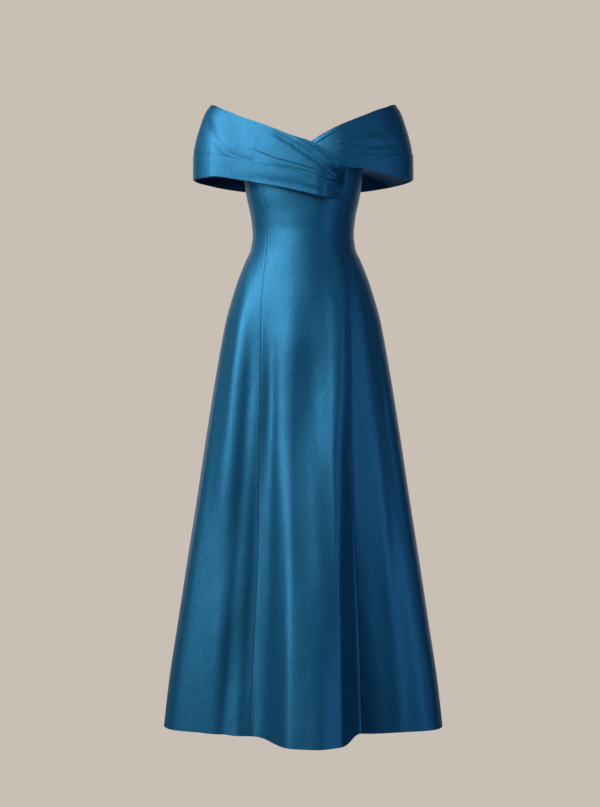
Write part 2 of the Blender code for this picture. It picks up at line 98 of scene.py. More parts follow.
# Flutes: soft terraces of the skirt. Seam coordinates 0 and 7 are the centre back, 3 and 4 the front princess seams.
FLUTE_COLUMNS = ("rise_from", "rise_to", "fall_from", "fall_to", "reach_at_hem", "begins")
FLUTES = (
    (3.02, 3.40, 3.73, 4.00, 0.108, -0.10),
    (3.12, 3.50, 3.50, 3.92, 0.020, -0.10),
    (2.83, 2.94, 3.02, 3.34, 0.020, -0.20),
    (3.88, 4.00, 4.02, 4.22, 0.006, -0.20),
    (2.20, 2.45, 2.55, 2.82, 0.006, -0.20),
    (4.30, 4.50, 4.60, 4.85, 0.006, -0.20),
    (5.15, 5.45, 5.50, 5.90, 0.034, -0.25),
    (1.12, 1.45, 1.55, 1.85, 0.030, -0.25),
    (5.92, 6.50, 6.60, 6.99, 0.070, -0.14),
    (0.02, 0.42, 0.52, 1.10, 0.064, -0.14),
    (6.50, 6.96, 7.04, 7.48, 0.058, -0.18),
)
FLUTE_GROWTH = 1.15

# Forms of the front over its sections and flutes: ridges (plus) and hollows (minus). Each lies along a line that
# slants from its upper to its lower place, with this spread to each side, and fades in and out at its two levels.
FORM_COLUMNS = ("upper_place", "lower_place", "spread", "reach", "upper_level", "lower_level", "fade")
FORMS = (
    (2.70, 2.74, 0.15, 0.012, -0.05, -0.80, 0.28),
    (2.76, 2.82, 0.11, 0.012, -0.60, -1.50, 0.35),
    (2.96, 2.96, 0.11, -0.015, -0.40, -1.18, 0.30),
    (3.55, 3.50, 0.26, 0.009, 0.10, -0.36, 0.14),
    (3.42, 3.42, 0.17, -0.010, -0.22, -0.95, 0.26),
    (3.86, 3.92, 0.15, 0.018, 0.02, -0.90, 0.30),
    (4.14, 4.20, 0.18, 0.010, -0.05, -0.90, 0.28),
    (3.92, 3.90, 0.16, -0.012, -0.80, -1.50, 0.32),
    (3.56, 3.56, 0.11, 0.008, -0.80, -1.50, 0.32),
)

# Levels
NECK_LEVEL = 0.185
HEM_LEVEL = -1.114
NECK_DIP_FRONT = 0.013
NECK_DIP_BACK = 0.035
HEM_DIP = 0.080
HEM_DIP_STARTS = 0.100
LEVELS = (
    0.185, 0.160, 0.134, 0.108, 0.082, 0.056, 0.030, 0.004, -0.022, -0.048, -0.074, -0.104,
    -0.140, -0.185, -0.245, -0.330, -0.450, -0.590, -0.740, -0.890, -1.010, -1.114,
)
NECK_BLEND_LEVEL = 0.030
HEM_BLEND_LEVEL = -0.590

# Panels: name and columns of the grid, in order around the body from the centre back
PANELS = (
    ("back_centre_right", 10),
    ("back_side_right", 9),
    ("front_side_right", 13),
    ("front_centre", 18),
    ("front_side_left", 13),
    ("back_side_left", 9),
    ("back_centre_left", 10),
)

# Collar ring
COLLAR_COLUMNS = ("height", "half_width", "front_depth", "back_depth")
COLLAR_SECTIONS = (
    (0.0600, 0.2485, 0.1180, 0.1105),
    (0.0850, 0.2485, 0.1190, 0.1105),
    (0.1240, 0.2485, 0.1210, 0.1105),
    (0.1500, 0.2484, 0.1210, 0.1105),
    (0.1830, 0.2478, 0.1195, 0.1100),
    (0.2058, 0.2440, 0.1175, 0.1090),
    (0.2431, 0.2335, 0.1130, 0.1060),
    (0.2787, 0.2205, 0.1080, 0.1020),
    (0.2940, 0.2100, 0.1040, 0.0990),
)
COLLAR_FRONT_SQUARENESS = 2.15
COLLAR_BACK_SQUARENESS = 2.45

# The collar's front runs flatter from the right arm and stands out most at the crossing
COLLAR_SWELL_COLUMNS = ("across", "standing out")
COLLAR_SWELL = ((-0.2080, 0.0), (-0.1350, -0.0115), (0.0750, 0.0135), (0.2100, 0.0))

# Collar edges: on the front the distance from the centre plane, to the wearer's left, and on the back the angle
FRONT_EDGE_COLUMNS = ("across", "height")
RIGHT_TOP_FRONT = (
    (-0.2110, 0.2940), (-0.2023, 0.2895), (-0.1757, 0.2750), (-0.1433, 0.2598), (-0.0805, 0.2345),
    (-0.0250, 0.2105), (0.0100, 0.1985), (0.0300, 0.1880), (0.0627, 0.1645), (0.0923, 0.1400),
)
RIGHT_BOTTOM_FRONT = (
    (-0.2485, 0.1238), (-0.2233, 0.1225), (-0.2030, 0.1235), (-0.1350, 0.1127), (-0.0923, 0.1040),
    (-0.0471, 0.0950), (-0.0073, 0.0851), (0.0258, 0.0770), (0.0602, 0.0712), (0.0838, 0.0714),
)
LEFT_TOP_FRONT = (
    (-0.0300, 0.1840), (0.0115, 0.1965), (0.0326, 0.2090), (0.0525, 0.2195), (0.0770, 0.2315),
    (0.1040, 0.2440), (0.1355, 0.2580), (0.1678, 0.2735), (0.2050, 0.2915), (0.2100, 0.2940),
)
LEFT_BOTTOM_FRONT = (
    (0.0650, 0.1400), (0.1017, 0.1379), (0.1351, 0.1373), (0.1520, 0.1341), (0.1775, 0.1288),
    (0.2158, 0.1225), (0.2485, 0.1250),
)
BACK_EDGE_COLUMNS = ("degrees_from_front", "height")
TOP_BACK = ((105.0, 0.285), (120.0, 0.267), (135.0, 0.246), (150.0, 0.225), (165.0, 0.212), (180.0, 0.207))
BOTTOM_BACK = ((117.0, 0.120), (137.0, 0.113), (153.0, 0.107), (180.0, 0.095))
FOLD_START = 0.66
COLLAR_ROWS = 9
FOLD_ROWS = 3
RIGHT_HALF_COLUMNS = 46
LEFT_HALF_COLUMNS = 38

# Where the right half lies over the left half, and where its end turns in to the princess seam
OVERLAP_LIFT = 0.0066
OVERLAP_TURNS = (math.radians(-52.0), math.radians(-9.0))
TUCK_ACROSS = (0.028, 0.088)
TUCK_HEIGHTS = (0.090, 0.150)

# Thickness of the cloth that shows, with its lining, and of its rolled edges
CLOTH_WALL = 0.0016
EDGE_STEPS = (0.0004, 0.0011, 0.0022)
EDGE_FULLNESS = (0.30, 0.72, 0.95, 1.0)
SEAM_DIP = 0.00045
SEAM_DIP_WIDTH = 0.0017
PANEL_WIDTH = 0.22

# Cloth: real threads are about 0.1 mm apart, and are drawn as a grain of 5 by 2 mm so that the picture can carry them
GRAIN_PER_METRE = (200.0, 480.0, 1.0)
GRAIN_DEPTH = 0.00022
PUCKERS_PER_METRE = (28.0, 20.0, 1.0)
PUCKER_DEPTH = 0.0010
TONE_SPAN = (0.32, 0.68)
# Painted shade: the cloth's colour is darkened within this width of a seam or a turned edge, down to this share, for
# the shade in the seam's groove and under the edge
PAINTED_SHADE_WIDTH = 0.0011
PAINTED_SHADE_TONE = 0.66

# Creases of the body: soft ridges (plus) and troughs (minus). Each runs between two places on the seam coordinate, at
# its upper and lower level, and fades in below the upper level and out above the lower one.
CREASE_COLUMNS = ("upper_place", "lower_place", "spread", "relief", "upper_level", "lower_level", "fade")
CREASES = (
    (3.35, 3.35, 0.45, 0.0050, 0.14, -0.12, 0.13),
    (3.78, 3.74, 0.20, 0.0045, 0.30, -0.15, 0.12),
    (2.62, 2.56, 0.09, 0.0012, 0.30, -0.20, 0.12),
    (2.90, 2.88, 0.07, 0.0030, -0.45, -1.00, 0.22),
    (3.12, 3.14, 0.09, -0.0070, -0.16, -1.25, 0.22),
    (2.90, 2.86, 0.07, -0.0035, -0.20, -0.75, 0.18),
    (3.52, 3.55, 0.11, -0.0055, -0.10, -0.62, 0.20),
    (3.34, 3.42, 0.10, 0.0040, -0.45, -1.25, 0.25),
    (3.50, 3.60, 0.06, 0.0010, -0.30, -0.85, 0.20),
    (3.32, 3.26, 0.05, -0.0010, -0.60, -1.30, 0.20),
    (4.30, 4.24, 0.07, 0.0022, -0.35, -1.30, 0.25),
    (4.44, 4.50, 0.06, -0.0012, -0.20, -0.75, 0.18),
    (2.22, 2.14, 0.08, -0.0015, -0.25, -0.90, 0.20),
    (0.30, 0.22, 0.10, 0.0022, -0.15, -0.80, 0.20),
    (0.62, 0.74, 0.08, -0.0018, -0.25, -1.05, 0.22),
    (1.28, 1.18, 0.09, 0.0020, -0.20, -0.70, 0.18),
    (1.70, 1.78, 0.07, -0.0014, -0.45, -1.30, 0.22),
    (5.34, 5.44, 0.09, 0.0018, -0.30, -1.10, 0.22),
    (5.72, 5.62, 0.08, -0.0020, -0.15, -0.65, 0.18),
    (6.22, 6.10, 0.10, 0.0024, -0.35, -1.30, 0.22),
    (6.66, 6.78, 0.07, -0.0016, -0.20, -0.90, 0.20),
    (0.86, 0.92, 0.07, 0.0010, 0.26, -0.05, 0.10),
    (6.12, 6.06, 0.08, -0.0010, 0.26, -0.08, 0.10),
)

# Creases of the collar: ridges (plus) and troughs (minus) along a line across the front, each with its own softness
# above and below the line and a share of its length over which it fades in
COLLAR_CREASE_COLUMNS = ("relief", "softness_above", "softness_below", "fade", "line")
RIGHT_CREASES = (
    (-0.0030, 0.0060, 0.0075, 0.30, ((-0.0912, 0.2296), (-0.0559, 0.2119), (-0.0272, 0.1943), (0.0104, 0.1678),
                                     (0.0479, 0.1413), (0.0678, 0.1258))),
    (0.0016, 0.0050, 0.0035, 0.40, ((-0.0338, 0.2119), (-0.0073, 0.1954), (0.0324, 0.1722), (0.0700, 0.1391))),
    (0.0013, 0.0080, 0.0011, 0.12, ((-0.1199, 0.1921), (-0.1053, 0.1801), (-0.0921, 0.1746), (-0.0609, 0.1612),
                                    (-0.0082, 0.1453), (0.0446, 0.1296), (0.0700, 0.1192))),
    (-0.0014, 0.0050, 0.0060, 0.35, ((-0.0779, 0.1457), (-0.0404, 0.1369), (-0.0007, 0.1280), (0.0655, 0.1082))),
    (-0.0026, 0.0110, 0.0120, 0.20, ((-0.2192, 0.2693), (-0.2148, 0.2472), (-0.2082, 0.2296), (-0.1994, 0.2075),
                                     (-0.1861, 0.1921), (-0.1707, 0.1766), (-0.1486, 0.1612), (-0.1177, 0.1501))),
    (0.0019, 0.0100, 0.0110, 0.20, ((-0.2130, 0.2900), (-0.2290, 0.2500), (-0.2430, 0.2050), (-0.2480, 0.1700),
                                    (-0.2485, 0.1000))),
    (0.0012, 0.0030, 0.0012, 0.50, ((0.0413, 0.1545), (0.0567, 0.1413), (0.0678, 0.1302))),
    (0.0010, 0.0030, 0.0012, 0.50, ((0.0324, 0.1214), (0.0501, 0.1137), (0.0655, 0.1104))),
)
LEFT_CREASES = (
    (0.0016, 0.0070, 0.0014, 0.30, ((0.0715, 0.1903), (0.0861, 0.1943), (0.1163, 0.1987), (0.1693, 0.2075))),
    (0.0013, 0.0060, 0.0016, 0.30, ((0.0214, 0.1914), (0.0369, 0.2009), (0.0536, 0.2106), (0.0766, 0.2230))),
    (0.0012, 0.0050, 0.0016, 0.30, ((0.0655, 0.1755), (0.0920, 0.1810), (0.1207, 0.1821), (0.1516, 0.1788))),
    (-0.0016, 0.0090, 0.0070, 0.40, ((0.0920, 0.1545), (0.1163, 0.1623), (0.1428, 0.1854), (0.1958, 0.1965))),
)
LEFT_END_SINKS = 0.010
LEFT_END_SPAN = (-0.005, 0.085)
FOLD_CREASES = (
    (-0.0015, 0.0100, 0.0120, 0.40, ((-0.1700, 0.1180), (-0.1000, 0.1150), (-0.0300, 0.1020), (0.0300, 0.0900))),
    (0.0012, 0.0060, 0.0060, 0.40, ((-0.0073, 0.1104), (0.0324, 0.0949), (0.0678, 0.0817))),
)


def smooth_step(low, high, value):
    """0 below low, 1 above high, and a soft S between them."""
    t = np.clip((value - low) / (high - low), 0.0, 1.0)
    return t * t * (3.0 - 2.0 * t)


def smooth_curve(rows, column, at):
    """A curve through one column of a table, with no bumps between the rows and flat beyond its ends."""
    table = np.array(rows, dtype=float)
    xs = table[:, 0]
    ys = table[:, column]
    step = np.diff(xs)
    slope = np.diff(ys) / step
    product = slope[:-1] * slope[1:]
    total = np.where(product > 0.0, slope[:-1] + slope[1:], 1.0)
    tangent = np.concatenate(([slope[0]], np.where(product > 0.0, 2.0 * product / total, 0.0), [slope[-1]]))
    at = np.clip(at, xs[0], xs[-1])
    i = np.clip(np.searchsorted(xs, at) - 1, 0, len(xs) - 2)
    h = step[i]
    t = (at - xs[i]) / h
    return (
        ys[i] * (1.0 + 2.0 * t) * (1.0 - t) ** 2
        + tangent[i] * h * t * (1.0 - t) ** 2
        + ys[i + 1] * t * t * (3.0 - 2.0 * t)
        + tangent[i + 1] * h * t * t * (t - 1.0)
    )


def ring_point(turn, half_width, front_depth, back_depth, front_squareness, back_squareness):
    """A point on a rounded-square ring and its outward direction. turn is 0 at the front and grows to +X."""
    sine = np.sin(turn)
    cosine = np.cos(turn)
    depth = np.where(cosine > 0.0, front_depth, back_depth)
    squareness = np.where(cosine > 0.0, front_squareness, back_squareness)
    power = 2.0 / squareness
    x = half_width * np.sign(sine) * np.abs(sine) ** power
    y = -depth * np.sign(cosine) * np.abs(cosine) ** power
    out_x = np.sign(sine) * (np.abs(x) / half_width) ** (squareness - 1.0) / half_width
    out_y = -np.sign(cosine) * (np.abs(y) / depth) ** (squareness - 1.0) / depth
    length = np.hypot(out_x, out_y)
    return x, y, out_x / length, out_y / length


def turn_at(across, half_width, squareness):
    """The angle at which the ring is this far from the centre plane."""
    return np.arcsin(np.clip(across / half_width, 0.0, 1.0) ** (squareness / 2.0))


def seam_turns(level):
    """The angles of the eight seam lines at a level, from the centre back round to the centre back."""
    half_width = smooth_curve(SECTIONS, 1, level)
    front_squareness = smooth_curve(SECTIONS, 4, level)
    back_squareness = smooth_curve(SECTIONS, 5, level)
    front_right = turn_at(smooth_curve(SEAMS, 1, level), half_width, front_squareness)
    front_left = turn_at(smooth_curve(SEAMS, 2, level), half_width, front_squareness)
    back = math.pi - turn_at(smooth_curve(SEAMS, 3, level), half_width, back_squareness)
    side = np.full_like(back, SIDE_SEAM_ANGLE)
    centre = np.full_like(back, math.pi)
    return np.stack([-centre, -back, -side, -front_right, front_left, side, back, centre], axis=-1)


def flute_reach(place, level):
    """How far the skirt's flutes push the ring outward at a seam coordinate and a level."""
    reach = np.zeros(np.broadcast(place, level).shape)
    for rise_from, rise_to, fall_from, fall_to, at_hem, begins in FLUTES:
        growth = np.clip((begins - level) / (begins - HEM_LEVEL), 0.0, 1.0) ** FLUTE_GROWTH
        for shifted in (place, place + 7.0):
            shape = smooth_step(rise_from, rise_to, shifted) * (1.0 - smooth_step(fall_from, fall_to, shifted))
            reach = reach + at_hem * growth * shape
    return reach


def soft_forms(place, level, rows):
    """Sum of soft ridges and hollows: each is a bell across a line that slants from its upper to its lower place."""
    reach = np.zeros(np.broadcast(place, level).shape)
    for upper_place, lower_place, spread, height, upper_level, lower_level, fade in rows:
        share = np.clip((upper_level - level) / (upper_level - lower_level), 0.0, 1.0)
        centre = upper_place + (lower_place - upper_place) * share
        along = smooth_step(0.0, fade, upper_level - level) * smooth_step(0.0, fade, level - lower_level)
        reach = reach + height * along * np.exp(-(((place - centre) / spread) ** 2))
    return reach


def body_surface(place, level):
    """Outer face of the body: ring of the level's section, pushed outward by its form, with the neck and hem lines.

    place is the seam coordinate from 0 to 7, level the nominal height.
    """
    place, level = np.broadcast_arrays(place, level)
    turns = seam_turns(level)
    panel = np.clip(np.floor(place).astype(int), 0, len(PANELS) - 1)
    share = place - panel
    start = np.take_along_axis(turns, panel[..., None], axis=-1)[..., 0]
    end = np.take_along_axis(turns, panel[..., None] + 1, axis=-1)[..., 0]
    turn = start + (end - start) * share
    section = [smooth_curve(SECTIONS, column, level) for column in range(1, 6)]
    x, y, out_x, out_y = ring_point(turn, *section)
    reach = flute_reach(place, level) + soft_forms(place, level, FORMS)
    x = x + reach * out_x
    y = y + reach * out_y
    facing = np.cos(turn)
    neck_drop = NECK_DIP_FRONT * np.clip(facing, 0.0, 1.0) ** 2 + NECK_DIP_BACK * np.clip(-facing, 0.0, 1.0) ** 2
    neck_share = smooth_step(NECK_BLEND_LEVEL, NECK_LEVEL, level)
    hem_share = np.clip((HEM_BLEND_LEVEL - level) / (HEM_BLEND_LEVEL - HEM_LEVEL), 0.0, 1.0) ** 1.5
    z = level - neck_drop * neck_share - HEM_DIP * np.clip(np.abs(y) - HEM_DIP_STARTS, 0.0, None) * hem_share
    return np.stack([x, y, z], axis=-1)


def body_front(across, height):
    """Depth of the body's plain front at a place above the waist."""
    level = height + NECK_DIP_FRONT * smooth_step(NECK_BLEND_LEVEL, NECK_LEVEL, height)
    half_width = smooth_curve(SECTIONS, 1, level)
    front_depth = smooth_curve(SECTIONS, 2, level)
    squareness = smooth_curve(SECTIONS, 4, level)
    share = np.clip(np.abs(across) / half_width, 0.0, 0.98)
    return -front_depth * (1.0 - share**squareness) ** (1.0 / squareness)


def grid_normals(points, closed_round=False):
    """Outward unit normals of a grid of points, from the differences between neighbours."""
    if closed_round:
        around = np.roll(points, -1, axis=1) - np.roll(points, 1, axis=1)
    else:
        around = np.gradient(points, axis=1)
    down = np.gradient(points, axis=0)
    normal = np.cross(down, around)
    return normal / np.linalg.norm(normal, axis=-1, keepdims=True)


def inset_ends(points, start, end):
    """Moves the first and last column along the grid by start and end metres, to leave the seam gaps."""
    points = points.copy()
    first = points[:, 1] - points[:, 0]
    last = points[:, -2] - points[:, -1]
    points[:, 0] += start * first / np.linalg.norm(first, axis=-1, keepdims=True)
    points[:, -1] += end * last / np.linalg.norm(last, axis=-1, keepdims=True)
    return points


def edge_rows(front, back, side):
    """One edge of a collar half as rows of angle and height. side is -1 for the wearer's right, 1 for the left."""
    across, height = np.array(front).T
    half_width = smooth_curve(COLLAR_SECTIONS, 1, height)
    turn = np.sign(across) * turn_at(np.abs(across), half_width, COLLAR_FRONT_SQUARENESS)
    back_turn, back_height = np.array(back).T
    rows = np.concatenate([
        np.stack([turn, height], axis=1),
        np.stack([side * np.radians(back_turn), back_height], axis=1),
    ])
    return rows[np.argsort(rows[:, 0])]


def collar_surface(share, down, top_rows, bottom_rows, crosses_over):
    """Outer face of a collar half: the collar ring between its top and bottom edge.

    share runs from one end of the half to the other and down from its top edge to its bottom edge, both 0 to 1. The
    front swells towards the crossing. The half that crosses over is lifted clear of the other at the front, and its
    end turns in to lie on the bodice.
    """
    top_turn = top_rows[0, 0] + (top_rows[-1, 0] - top_rows[0, 0]) * share
    bottom_turn = bottom_rows[0, 0] + (bottom_rows[-1, 0] - bottom_rows[0, 0]) * share
    turn = top_turn + (bottom_turn - top_turn) * down
    top = smooth_curve(top_rows, 1, top_turn)
    bottom = smooth_curve(bottom_rows, 1, bottom_turn)
    z = top + (bottom - top) * down
    section = [smooth_curve(COLLAR_SECTIONS, column, z) for column in range(1, 4)]
    x, y, out_x, out_y = ring_point(turn, *section, COLLAR_FRONT_SQUARENESS, COLLAR_BACK_SQUARENESS)
    y = y - np.where(np.cos(turn) > 0.0, smooth_curve(COLLAR_SWELL, 1, x), 0.0)
    if crosses_over:
        lift = OVERLAP_LIFT * smooth_step(*OVERLAP_TURNS, turn)
        x = x + lift * out_x
        y = y + lift * out_y
        tuck = smooth_step(*TUCK_ACROSS, x) * (1.0 - smooth_step(*TUCK_HEIGHTS, z))
        on_bodice = body_front(x, z) - COLLAR_WALL - 1.4 * LAYER_GAP
        y = y + (on_bodice - y) * tuck
    return np.stack([x, y, z], axis=-1)


def line_creases(across, height, creases):
    """Sum of the collar's creases: each is a bell across its line in the front plane, with its own softness on each
    side, and grows along the line from its start."""
    relief = np.zeros_like(across)
    for rise, above, below, fade, line in creases:
        points = np.array(line)
        nearest = np.full_like(across, 1.0)
        side = np.zeros_like(across)
        along = np.zeros_like(across)
        for k in range(len(points) - 1):
            step = points[k + 1] - points[k]
            rel_x = across - points[k, 0]
            rel_z = height - points[k, 1]
            share = np.clip((rel_x * step[0] + rel_z * step[1]) / (step @ step), 0.0, 1.0)
            gap = np.hypot(rel_x - share * step[0], rel_z - share * step[1])
            closer = gap < nearest
            nearest = np.where(closer, gap, nearest)
            side = np.where(closer, step[0] * rel_z - step[1] * rel_x, side)
            along = np.where(closer, (k + share) / (len(points) - 1), along)
        softness = np.where(side > 0.0, above, below)
        relief += rise * smooth_step(0.0, fade, along) * np.exp(-((nearest / softness) ** 2))
    return relief


def steps_with_edges(count, length, first_edge=True, last_edge=True):
    """Shares from 0 to 1, evenly spaced, with finer steps beside the edges that are rolled."""
    inner = np.linspace(0.0, 1.0, count + 1)
    fine = np.array(EDGE_STEPS) / length
    inner = inner[(inner > fine[-1] * 1.3) & (inner < 1.0 - fine[-1] * 1.3)]
    return np.concatenate([[0.0], fine if first_edge else [], inner, 1.0 - fine[::-1] if last_edge else [], [1.0]])


def edge_fullness(count, first_edge=True, last_edge=True):
    """How full the wall is at each step: thin at a rolled edge and full a few steps in."""
    fullness = np.ones(count)
    ramp = np.array(EDGE_FULLNESS)
    if first_edge:
        fullness[: len(ramp)] = np.minimum(fullness[: len(ramp)], ramp)
    if last_edge:
        fullness[-len(ramp):] = np.minimum(fullness[-len(ramp):], ramp[::-1])
    return fullness


def cloth_lengths(points):
    """Distances along the cloth, in metres: across each row from its middle, and down each column."""
    across = np.linalg.norm(np.diff(points, axis=1), axis=-1)
    across = np.concatenate([np.zeros((len(points), 1)), np.cumsum(across, axis=1)], axis=1)
    across = across - across[:, points.shape[1] // 2][:, None]
    down = np.linalg.norm(np.diff(points, axis=0), axis=-1)
    down = np.concatenate([np.zeros((1, points.shape[1])), np.cumsum(down, axis=0)], axis=0)
    return across, down


def cloth_piece(name, outer, inner, face, lining, replaced, body="gown"):
    """A closed wall between two grids as a smooth piece, with its cloth lengths as UV, that replaces its solid."""
    rows, columns = outer.shape[:2]
    count = rows * columns
    index = np.arange(count).reshape(rows, columns)
    outside = np.stack([index[:-1, :-1], index[1:, :-1], index[1:, 1:], index[:-1, 1:]], axis=-1).reshape(-1, 4)
    inside = outside[:, ::-1] + count
    rim = np.concatenate([index[:, 0], index[-1, 1:], index[-2::-1, -1], index[0, -2::-1]])
    start, end = rim[:-1], rim[1:]
    edges = np.stack([end, start, start + count, end + count], axis=1)
    faces = np.concatenate([outside, inside, edges])
    mesh = bpy.data.meshes.new(name)
    mesh.from_pydata(np.concatenate([outer.reshape(-1, 3), inner.reshape(-1, 3)]), [], faces)
    across, down = cloth_lengths(outer)
    uv = np.stack([across.ravel(), -down.ravel()], axis=1)
    uv = np.concatenate([uv, uv])[faces.ravel()]
    mesh.uv_layers.new(name="cloth").uv.foreach_set("vector", uv.ravel().astype(np.float32))
    from_sides = np.minimum(across - across[:, :1], across[:, -1:] - across)
    from_ends = np.minimum(down, down[-1:] - down)
    edge_uv = np.stack([from_sides.ravel(), from_ends.ravel()], axis=1)
    edge_uv = np.concatenate([edge_uv, edge_uv])[faces.ravel()]
    mesh.uv_layers.new(name="edges").uv.foreach_set("vector", edge_uv.ravel().astype(np.float32))
    mesh.materials.append(face)
    mesh.materials.append(lining)
    slots = np.zeros(len(faces), dtype=np.int32)
    slots[len(outside): len(outside) + len(inside)] = 1
    mesh.polygons.foreach_set("material_index", slots)
    mesh.polygons.foreach_set("use_smooth", np.ones(len(faces), dtype=bool))
    mesh.set_sharp_from_angle(angle=math.radians(65.0))
    piece = bpy.data.objects.new(name, mesh)
    bpy.context.scene.collection.objects.link(piece)
    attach(piece, body)
    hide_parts(replaced)
    width = across[:, -1] - across[:, 0]
    length = down[-1]
    cell = np.linalg.norm(np.cross(outer[1:, :-1] - outer[:-1, :-1], outer[:-1, 1:] - outer[:-1, :-1]), axis=-1)
    return piece, float(width.max()), float(length.max()), float(cell.sum())


def build_panels(face, lining):
    """The seven panels: the ring surface between its seams, with creases and pressed seam edges."""
    for i, (name, _) in enumerate(PANELS):
        columns = PANEL_COLUMNS[name]
        place = i + steps_with_edges(columns, PANEL_WIDTH)
        level_share = steps_with_edges(BODY_ROWS, NECK_LEVEL - HEM_LEVEL)
        level = NECK_LEVEL + (HEM_LEVEL - NECK_LEVEL) * level_share
        place, level = np.meshgrid(place, level)
        margin = EDGE_STEPS[0] / PANEL_WIDTH
        wide = np.concatenate([place[:, :1] - margin, place, place[:, -1:] + margin], axis=1)
        wide_level = np.concatenate([level[:, :1], level, level[:, -1:]], axis=1)
        wrapped = np.mod(wide, 7.0)
        surface = body_surface(wrapped, wide_level)
        normals = grid_normals(surface)
        surface = surface + soft_forms(wrapped, wide_level, CREASES)[..., None] * normals
        normals = grid_normals(surface)[:, 1:-1]
        surface = surface[:, 1:-1]
        across, _ = cloth_lengths(surface)
        from_seam = np.minimum(across - across[:, :1], across[:, -1:] - across)
        surface = surface - (SEAM_DIP * np.exp(-((from_seam / SEAM_DIP_WIDTH) ** 2)))[..., None] * normals
        fullness = edge_fullness(len(level))[:, None, None]
        outer = inset_ends(surface, SEAM_GAP / 2.0, SEAM_GAP / 2.0)
        inner = inset_ends(surface - CLOTH_WALL * fullness * normals, SEAM_GAP / 2.0, SEAM_GAP / 2.0)
        piece, width, length, area = cloth_piece(f"{name}_cloth", outer, inner, face, lining, name)


def build_collar_cloth(side, columns, top_rows, bottom_rows, crosses_over, creases, face, lining):
    """A collar half: its drape with the creases that run to the crossing, and the turned fold on its lower third."""
    down = steps_with_edges(DRAPE_ROWS, 0.12)
    share, down = np.meshgrid(steps_with_edges(columns, 0.6), down)
    surface = collar_surface(share, down, top_rows, bottom_rows, crosses_over)
    normals = grid_normals(surface)
    front = smooth_step(0.02, -0.02, surface[..., 1])
    relief = line_creases(surface[..., 0], surface[..., 2], creases) * front
    if not crosses_over:
        relief = relief - LEFT_END_SINKS * (1.0 - smooth_step(*LEFT_END_SPAN, surface[..., 0])) * front
    above_fold = 1.0 - smooth_step(FOLD_START - 0.02, FOLD_START + 0.03, down)
    draped = surface + (relief * above_fold)[..., None] * normals
    draped_normals = grid_normals(draped)
    half_gap = SEAM_GAP / 2.0
    gaps = (half_gap, 0.0) if crosses_over else (0.0, half_gap)
    fullness = edge_fullness(len(down))[:, None, None]
    outer = inset_ends(draped, *gaps)
    inner = inset_ends(draped - CLOTH_WALL * fullness * draped_normals, *gaps)
    name = f"collar_{side}_drape"
    piece, width, length, area = cloth_piece(f"{name}_cloth", outer, inner, face, lining, name)

    fold_down = FOLD_START + (1.0 - FOLD_START) * steps_with_edges(FOLD_CLOTH_ROWS, 0.05)
    share, down = np.meshgrid(steps_with_edges(columns, 0.6), fold_down)
    surface = collar_surface(share, down, top_rows, bottom_rows, crosses_over)
    normals = grid_normals(surface)
    if crosses_over:
        front = smooth_step(0.02, -0.02, surface[..., 1])
        surface = surface + (line_creases(surface[..., 0], surface[..., 2], FOLD_CREASES) * front)[..., None] * normals
        normals = grid_normals(surface)
    fullness = edge_fullness(len(fold_down))[:, None, None]
    outer = inset_ends(surface + (LAYER_GAP + CLOTH_WALL * fullness) * normals, *gaps)
    inner = inset_ends(surface + LAYER_GAP * normals, *gaps)
    name = f"collar_{side}_fold"
    piece, width, length, area = cloth_piece(f"{name}_cloth", outer, inner, face, lining, name)


PANEL_COLUMNS = {
    "back_centre_right": 44,
    "back_side_right": 44,
    "front_side_right": 64,
    "front_centre": 96,
    "front_side_left": 64,
    "back_side_left": 44,
    "back_centre_left": 44,
}
BODY_ROWS = 210
DRAPE_ROWS = 96
FOLD_CLOTH_ROWS = 30
RIGHT_CLOTH_COLUMNS = 380
LEFT_CLOTH_COLUMNS = 300


def linear(hex_colour):
    """A colour written as sRGB hex, in linear light."""
    parts = [int(hex_colour[i: i + 2], 16) / 255.0 for i in (1, 3, 5)]
    return tuple(c / 12.92 if c <= 0.04045 else ((c + 0.055) / 1.055) ** 2.4 for c in parts)


def add_node(tree, kind, settings=None, links=None, **inputs):
    """Adds one node: settings are its own properties, inputs its socket values, links its sockets' sources."""
    node = tree.nodes.new(kind)
    for key, value in (settings or {}).items():
        setattr(node, key, value)
    for key, value in inputs.items():
        node.inputs[key.replace("_", " ")].default_value = value
    for key, source in (links or {}).items():
        tree.links.new(source, node.inputs[key])
    return node


def new_material(name):
    """An empty node material and its output."""
    material = bpy.data.materials.new(name)
    material.use_nodes = True
    tree = material.node_tree
    tree.nodes.clear()
    return material, tree, tree.nodes.new("ShaderNodeOutputMaterial")


